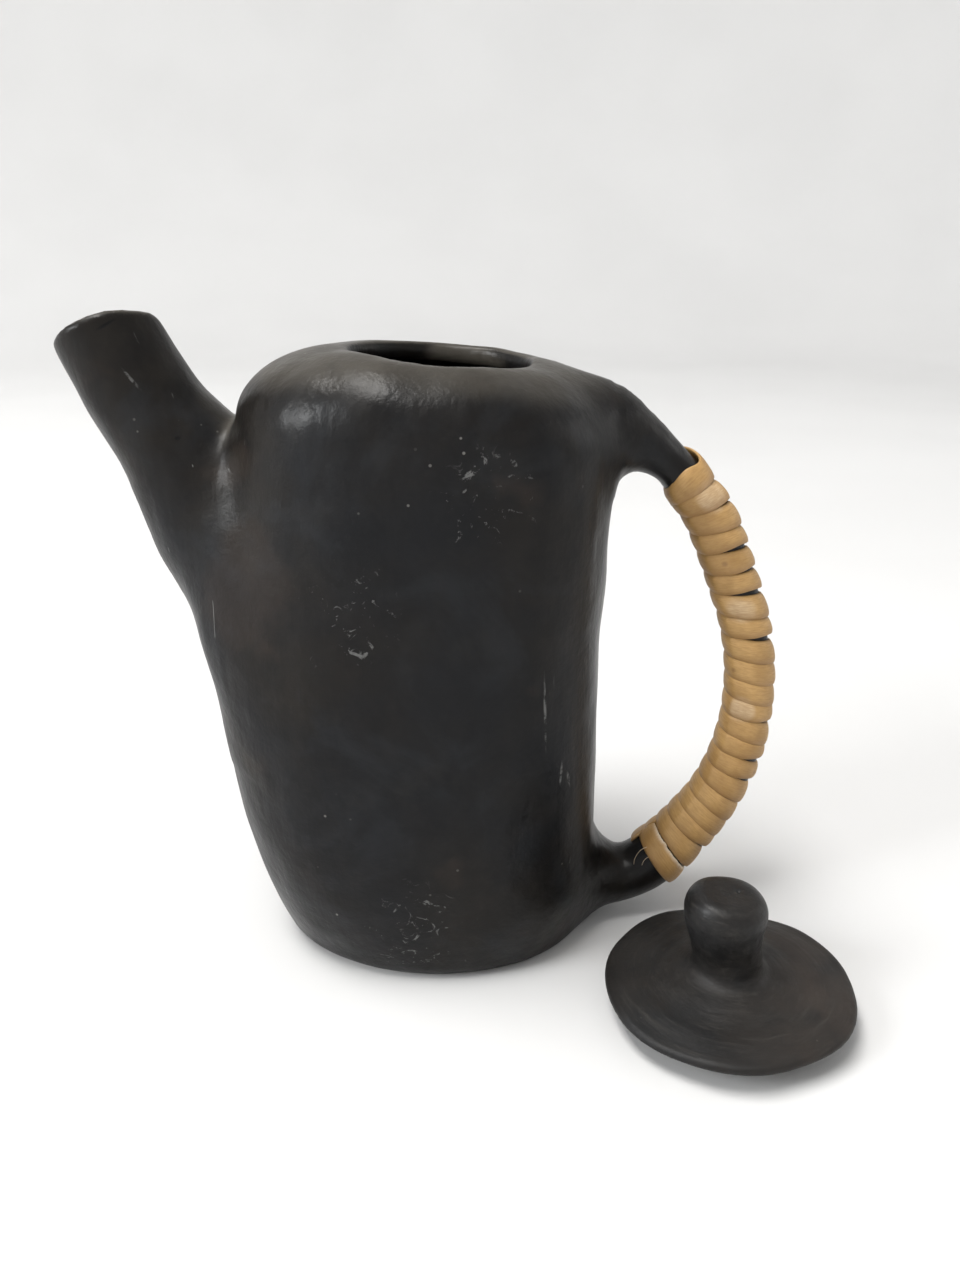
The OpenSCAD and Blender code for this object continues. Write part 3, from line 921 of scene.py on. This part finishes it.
def strip_lift(w, a):
    """Each turn's lower edge rides up on the next one, mostly on the outer side."""
    outer = 0.5 + 0.5 * np.cos(a)
    return -SINK + (0.02 + 0.36 * outer) * (w + 1) + over_runner(a)


def strip_rows(loop, a, d, width, extra=0.0, shift=0.0, across=15):
    """Section points of a strip laid round the loop at angles a and distances d. Its upper edge is
    lifted by extra and moved along the loop by shift."""
    shares = section_shares(across)
    w, up = shares[:, 0][None, :], shares[:, 1][None, :]
    upper = ((1 - w) / 2) ** 1.3
    place = d + w * width / 2 / loop.stretch(d, a) + shift * upper
    lift = strip_lift(w, a) + extra * upper
    return loop.point(place, a + 0 * place, lift + up * strip_section(w, a, STRIP_T)), w


def bell(x, centre, width):
    return np.exp(-(((x - centre) / width) ** 2))


def make_turns(loop, rng):
    """The wound strip. Its true width stays the same, so its turns gape outside and overlap inside."""
    steps = 96
    turn = np.linspace(0, TURNS, TURNS * steps + 1)[:, None]
    a = 2 * math.pi * turn + INNER_SIDE
    gap = sum(size * bell(turn, at, 0.20) for at, size in GAPS)
    spread = np.interp(turn, (0, 4.5, 7.5, 12.5, 15.5, TURNS), (0, 1.2, 3.7, 3.0, 2.6, 1.0))
    wander = 0.20 * soft_random(turn, (1.9, 3.3, 5.7), rng)
    d = TURNS_START - 0.6 + PITCH * turn + spread + wander - gap / 2
    width = STRIP_W + 0.18 * soft_random(turn, (1.3, 2.6, 7.1), rng) - gap
    points, w = strip_rows(loop, a, d, width, extra=0.10 * soft_random(turn, (0.7, 1.7, 3.9), rng))
    return strip_mesh("cane_turns", points, turn * GRAIN_TURN, w, 0.0)


def make_top_band(loop):
    """The first turn. On the outer side it stands off the clay and reaches further up the loop."""
    turn = np.linspace(-1.0, 0.0, 121)[:, None]
    a = 2 * math.pi * turn + INNER_SIDE
    gape = np.maximum(np.cos(a - 0.4), 0) ** 2
    reach = 3.2 * bell(a, -0.35, 0.8) - 4.0 * bell(a, 1.3, 0.7)
    d = TURNS_START - 2.6 + PITCH * turn * (0.6 + 0.4 * smoothstep(turn + 1))
    points, w = strip_rows(loop, a, d, STRIP_W + 0.9, extra=1.7 * gape, shift=reach)
    return strip_mesh("cane_top", points, turn * GRAIN_TURN, w, 0.0)


def make_end_band(loop, rng):
    """The last turn, a little apart. The edge that faces the others is torn and fibrous."""
    steps = 240
    turn = np.linspace(0.0, 1.0, steps + 1)[:, None]
    a = 2 * math.pi * turn + INNER_SIDE
    ragged = rng.normal(size=(steps + 1, 1))
    ragged = 0.20 * (ragged + np.roll(ragged, 1, 0)) + 0.32 * soft_random(turn, (0.06, 0.13), rng)
    d = TURNS_END + 0.9 + PITCH * (0.25 + 0.55 * turn)
    points, w = strip_rows(loop, a, d, STRIP_W - 0.6, 0.25 + 0.1 * ragged, 0.4 * ragged, across=17)
    edge = np.clip((-w - 0.62) / 0.38, 0, 1)
    front = np.clip(0.35 - np.sin(a), 0, 1)
    along = (TURNS + turn) * GRAIN_TURN + 10
    return strip_mesh("cane_end", points, along, w, edge**2 * front)


def make_runner(loop):
    """The strip's tail under the turns, on the inner side."""
    rows = 160
    d = np.linspace(TOP_BAND_AT + 2, END_BAND_AT - 3, rows)[:, None]
    half = math.radians(24)
    shares = section_shares(9)
    w, up = shares[:, 0][None, :], shares[:, 1][None, :]
    thick = RUNNER_T * (1 - 0.4 * np.abs(w) ** 3)
    points = loop.point(d + 0 * w, INNER_SIDE + w * half + 0 * d, up * thick - 0.45 + 0 * d)
    return strip_mesh("cane_tail", points, d, w, 0.0)


def fibre_points(route, radius):
    """Section points of a hair of torn cane along a few points, thinning to its end."""
    rows = smooth_rows(route, 40)
    way = np.gradient(rows, axis=0)
    way /= np.linalg.norm(way, axis=1)[:, None]
    side = np.cross(way, (0, 1, 0))
    side /= np.linalg.norm(side, axis=1)[:, None]
    other = np.cross(way, side)
    size = radius * np.linspace(1, 0.45, len(rows))[:, None, None]
    turn = np.linspace(0, 2 * math.pi, 6, endpoint=False)[None, :, None]
    return rows[:, None, :] + size * (np.cos(turn) * side[:, None, :] + np.sin(turn) * other[:, None, :])


# two hairs of torn cane: radius, then points from where the last turn ends
LONG_HAIR = [(1.5, 0.3, 0.6), (0, -0.6, 0), (-2.8, -1.2, -1.4), (-4.6, -1.6, -5.0), (-4.2, -1.8, -10.0)]
SHORT_HAIR = [(0.2, -2.0, -3.2), (-1.4, -2.8, -4.0), (-2.2, -3.0, -6.0)]
HAIRS = [(0.13, LONG_HAIR), (0.10, SHORT_HAIR)]


def make_cane(cane):
    """The strip's first turn, its wound turns, its torn last turn and the tail under them."""
    loop = Loop()
    rng = np.random.default_rng(RNG_SEED + 4)
    turns = make_turns(loop, rng)
    top = make_top_band(loop)
    end = make_end_band(loop, rng)
    tail = make_runner(loop)
    start = loop.point(TURNS_END + 5.0, math.radians(215), 0.9)
    hairs = []
    for radius, route in HAIRS:
        hairs.append(strip_mesh("hair", fibre_points(start + np.array(route), radius), 0.0, 0.0, 0.45))
    with bpy.context.temp_override(active_object=end, object=end, selected_editable_objects=[end, *hairs]):
        bpy.ops.object.join()
    finish_piece(turns, "cane_turns", "pot", "cane_wrap", cane)
    finish_piece(top, "cane_first_turn", "pot", "cane_top_band", cane)
    finish_piece(end, "cane_last_turn", "pot", "cane_end_band", cane)
    finish_piece(tail, "cane_tail", "pot", "cane_runner", cane)


# ---------------------------------------------------------------- the lid

LID_R = 37.5
RING_R = 24.5
RING_W = 5.5
RING_H = 7.0
PLATE_T = 4.0
CROWN = 3.0
KNOB_OFF = 2.8
KNOB_TOP = RING_H + PLATE_T + CROWN + 27.3
KNOB_CUT = RING_H + PLATE_T + CROWN + 1.0
LID_STEP = 0.85  # the lid's grid
# the knob's radius, from the plate up, as height and radius
KNOB_ROWS = [(10, 11.6), (14, 10.9), (18, 10.3), (23, 10.7), (29, 11.7), (34, 12.3), (38, 12.2), (44, 11.6)]


def rounded(side, face, bend):
    """A turned edge: two distances, to its side and to its face, with the corner rounded by bend."""
    corner = np.sqrt(np.maximum(side + bend, 0) ** 2 + np.maximum(face + bend, 0) ** 2)
    return np.minimum(-bend, np.maximum(side, face)) + corner


def plate_field(x, y, z):
    """The thin uneven disc, with a mound under the knob."""
    r = np.sqrt(x**2 + y**2)
    angle = np.arctan2(y, x)
    edge = LID_R + 0.45 * np.sin(2 * angle + 0.7) + 0.35 * np.sin(3 * angle + 2.1) + 0.2 * np.sin(7 * angle)
    mound = smoothstep((25 - np.sqrt((x + 1) ** 2 + y**2)) / 16)
    top = RING_H + PLATE_T + CROWN * mound + 0.5 * (1 - (r / LID_R) ** 2) - 1.1 * smoothstep((r - 27) / 10)
    half = (top - RING_H) / 2
    return rounded(r - edge, np.abs(z - RING_H - half) - half, 1.5)


def knob_field(x, y, z):
    """The waisted knob, a little off centre, leaning as it rises, with a small pit in its top."""
    rows = smooth_rows(KNOB_ROWS, 80)
    off = 0.8 + (KNOB_OFF - 0.8) * smoothstep((z - 12) / 20)
    knob = np.sqrt((x + off) ** 2 + (y * 1.02) ** 2) - np.interp(z, rows[:, 0], rows[:, 1])
    knob = soft_max(knob, z + 0.05 * x - KNOB_TOP + 0.3, 6.0)
    knob = np.maximum(knob, RING_H + 1 - z)
    pit = np.sqrt((x + KNOB_OFF - 3.4) ** 2 + (y - 1.0) ** 2 + (z - KNOB_TOP + 0.4) ** 2) - 0.9
    return soft_max(knob, -pit, 0.6)


def ring_field(x, y, z):
    """The locating ring, running a little way up into the plate."""
    side = np.abs(np.sqrt(x**2 + y**2) - RING_R + RING_W / 2) - RING_W / 2
    return rounded(side, np.maximum(-z, z - RING_H - 0.6), 1.0)


def lid_fields(g, centre):
    """The plate with its knob, and the locating ring, both roughened a little by hand."""
    rng = np.random.default_rng(RNG_SEED + 9)
    x, y, z = g.x - centre[0], g.y - centre[1], g.z
    lid = soft_min(plate_field(x, y, z), knob_field(x, y, z), 3.2)
    rough = 0.30 * g.waves(32, 8, rng) + 0.13 * g.waves(15, 10, rng)
    ring_rough = 0.10 * g.waves(14, 8, rng)
    return lid + rough * smoothstep((z - RING_H) / 2), ring_field(x, y, z) + ring_rough * smoothstep(z / 2)


def make_lid(clay, centre):
    """The lid as it lies on the table: its disc and knob cut from one skin, and its ring."""
    g = Grid((centre[0] - 41, centre[1] - 41, -3), (centre[0] + 41, centre[1] + 41, 46), LID_STEP)
    lid, ring = lid_fields(g, centre)
    points, quads = g.skin(lid)
    whole = new_object("whole", points * MM, quads)
    cutter = box_object((0, -0.3, KNOB_CUT * MM), (0.3, 0.3, 0.2))
    points, quads = g.skin(ring)
    pieces = {
        "lid_knob": (cut(whole, cutter, "INTERSECT"), lid),
        "lid_disc": (cut(whole, cutter, "DIFFERENCE"), lid),
        "lid_ring": (new_object("ring", points * MM, quads), ring),
    }
    drop(whole, cutter)
    for name, (obj, field) in pieces.items():
        shade_from_field(obj, g, field)
        finish_piece(obj, name + "_clay", "lid", name, clay)


# ---------------------------------------------------------------- floor, lights and camera

SKY_AT_SIDES = 0.15
SKY_OVERHEAD = 0.55
SKY_SEEN = 1.0
CAMERA_LENS = 29.53
CAMERA_AT = (0.0151, -0.3126, 0.2225)
CAMERA_DOWN = math.radians(21.3)


def make_floor():
    """A seamless studio sweep: a flat floor that turns up all round, far from the object."""
    sides = 96
    flat, curve, top = 1.7, 0.9, 1.9
    profile = [(r, 0.0) for r in np.linspace(0.15, flat, 8)]
    for t in np.linspace(0.1, math.pi / 2, 12):
        profile.append((flat + curve * math.sin(t), curve * (1 - math.cos(t))))
    profile.append((flat + curve, top))
    points = [(0, 0, 0)]
    around = np.linspace(0, 2 * math.pi, sides, endpoint=False)
    for r, z in profile:
        points += [(r * math.cos(t), r * math.sin(t), z) for t in around]
    faces = [(0, 1 + i, 1 + (i + 1) % sides) for i in range(sides)]
    for k in range(len(profile) - 1):
        a, b = 1 + k * sides, 1 + (k + 1) * sides
        faces += [(a + i, b + i, b + (i + 1) % sides, a + (i + 1) % sides) for i in range(sides)]
    obj = new_object("floor", points, faces)
    obj.data.polygons.foreach_set("use_smooth", np.ones(len(faces), bool))
    obj.data.materials.append(floor_material())


def make_light(name, place, target, size, power, colour):
    """A rectangular area light that faces its target."""
    light = bpy.data.lights.new(name, "AREA")
    light.shape = "RECTANGLE"
    light.size, light.size_y = size
    light.energy = power
    light.color = colour
    obj = bpy.data.objects.new(name, light)
    bpy.context.scene.collection.objects.link(obj)
    obj.location = place
    obj.rotation_euler = (Vector(target) - Vector(place)).to_track_quat("-Z", "Y").to_euler()


def make_world():
    """Soft light all round: brighter overhead, dimmer at the sides, and pale where it is seen directly."""
    world = bpy.data.worlds.new("studio")
    bpy.context.scene.world = world
    world.use_nodes = True
    tree = world.node_tree
    back = tree.nodes["Background"]
    coords = tree.nodes.new("ShaderNodeTexCoord")
    parts = tree.nodes.new("ShaderNodeSeparateXYZ")
    tree.links.new(coords.outputs["Generated"], parts.inputs[0])
    height = tree.nodes.new("ShaderNodeMapRange")
    height.interpolation_type = "SMOOTHSTEP"
    tree.links.new(parts.outputs["Z"], height.inputs["Value"])
    height.inputs["From Min"].default_value = 0.0
    height.inputs["From Max"].default_value = 0.9
    height.inputs["To Min"].default_value = SKY_AT_SIDES
    height.inputs["To Max"].default_value = SKY_OVERHEAD
    seen = tree.nodes.new("ShaderNodeLightPath")
    pick = tree.nodes.new("ShaderNodeMix")
    tree.links.new(seen.outputs["Is Camera Ray"], pick.inputs[0])
    tree.links.new(height.outputs["Result"], pick.inputs[2])
    pick.inputs[3].default_value = SKY_SEEN
    tree.links.new(pick.outputs[0], back.inputs["Strength"])
    back.inputs["Color"].default_value = (1, 1, 1, 1)


def make_camera():
    """The photo's own view: level from side to side and looking down by CAMERA_DOWN."""
    camera = bpy.data.cameras.new("camera")
    camera.lens = CAMERA_LENS
    obj = bpy.data.objects.new("camera", camera)
    bpy.context.scene.collection.objects.link(obj)
    obj.location = CAMERA_AT
    obj.rotation_euler = (math.pi / 2 - CAMERA_DOWN, 0, 0)
    bpy.context.scene.camera = obj


make_camera()
make_floor()
make_world()
make_light("overhead", (-0.80, -0.30, 2.70), (0, 0, 0.1), (1.8, 0.9), 88, (1.0, 0.985, 0.96))
make_light("window", (-2.2, -1.0, 1.3), (0, 0, 0.12), (0.9, 1.1), 48, (0.97, 0.99, 1.0))
make_light("rim", (2.3, 0.5, 0.8), (0, 0, 0.10), (0.8, 1.4), 5, (1.0, 0.98, 0.95))
bpy.context.scene.view_settings.view_transform = "Standard"

make_pot(clay_material())
make_cane(cane_material())
lid_low, lid_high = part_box("lid_disc")
lid_centre = (np.array(lid_low)[:2] + np.array(lid_high)[:2]) / 2
make_lid(lid_material(lid_centre), lid_centre / MM)
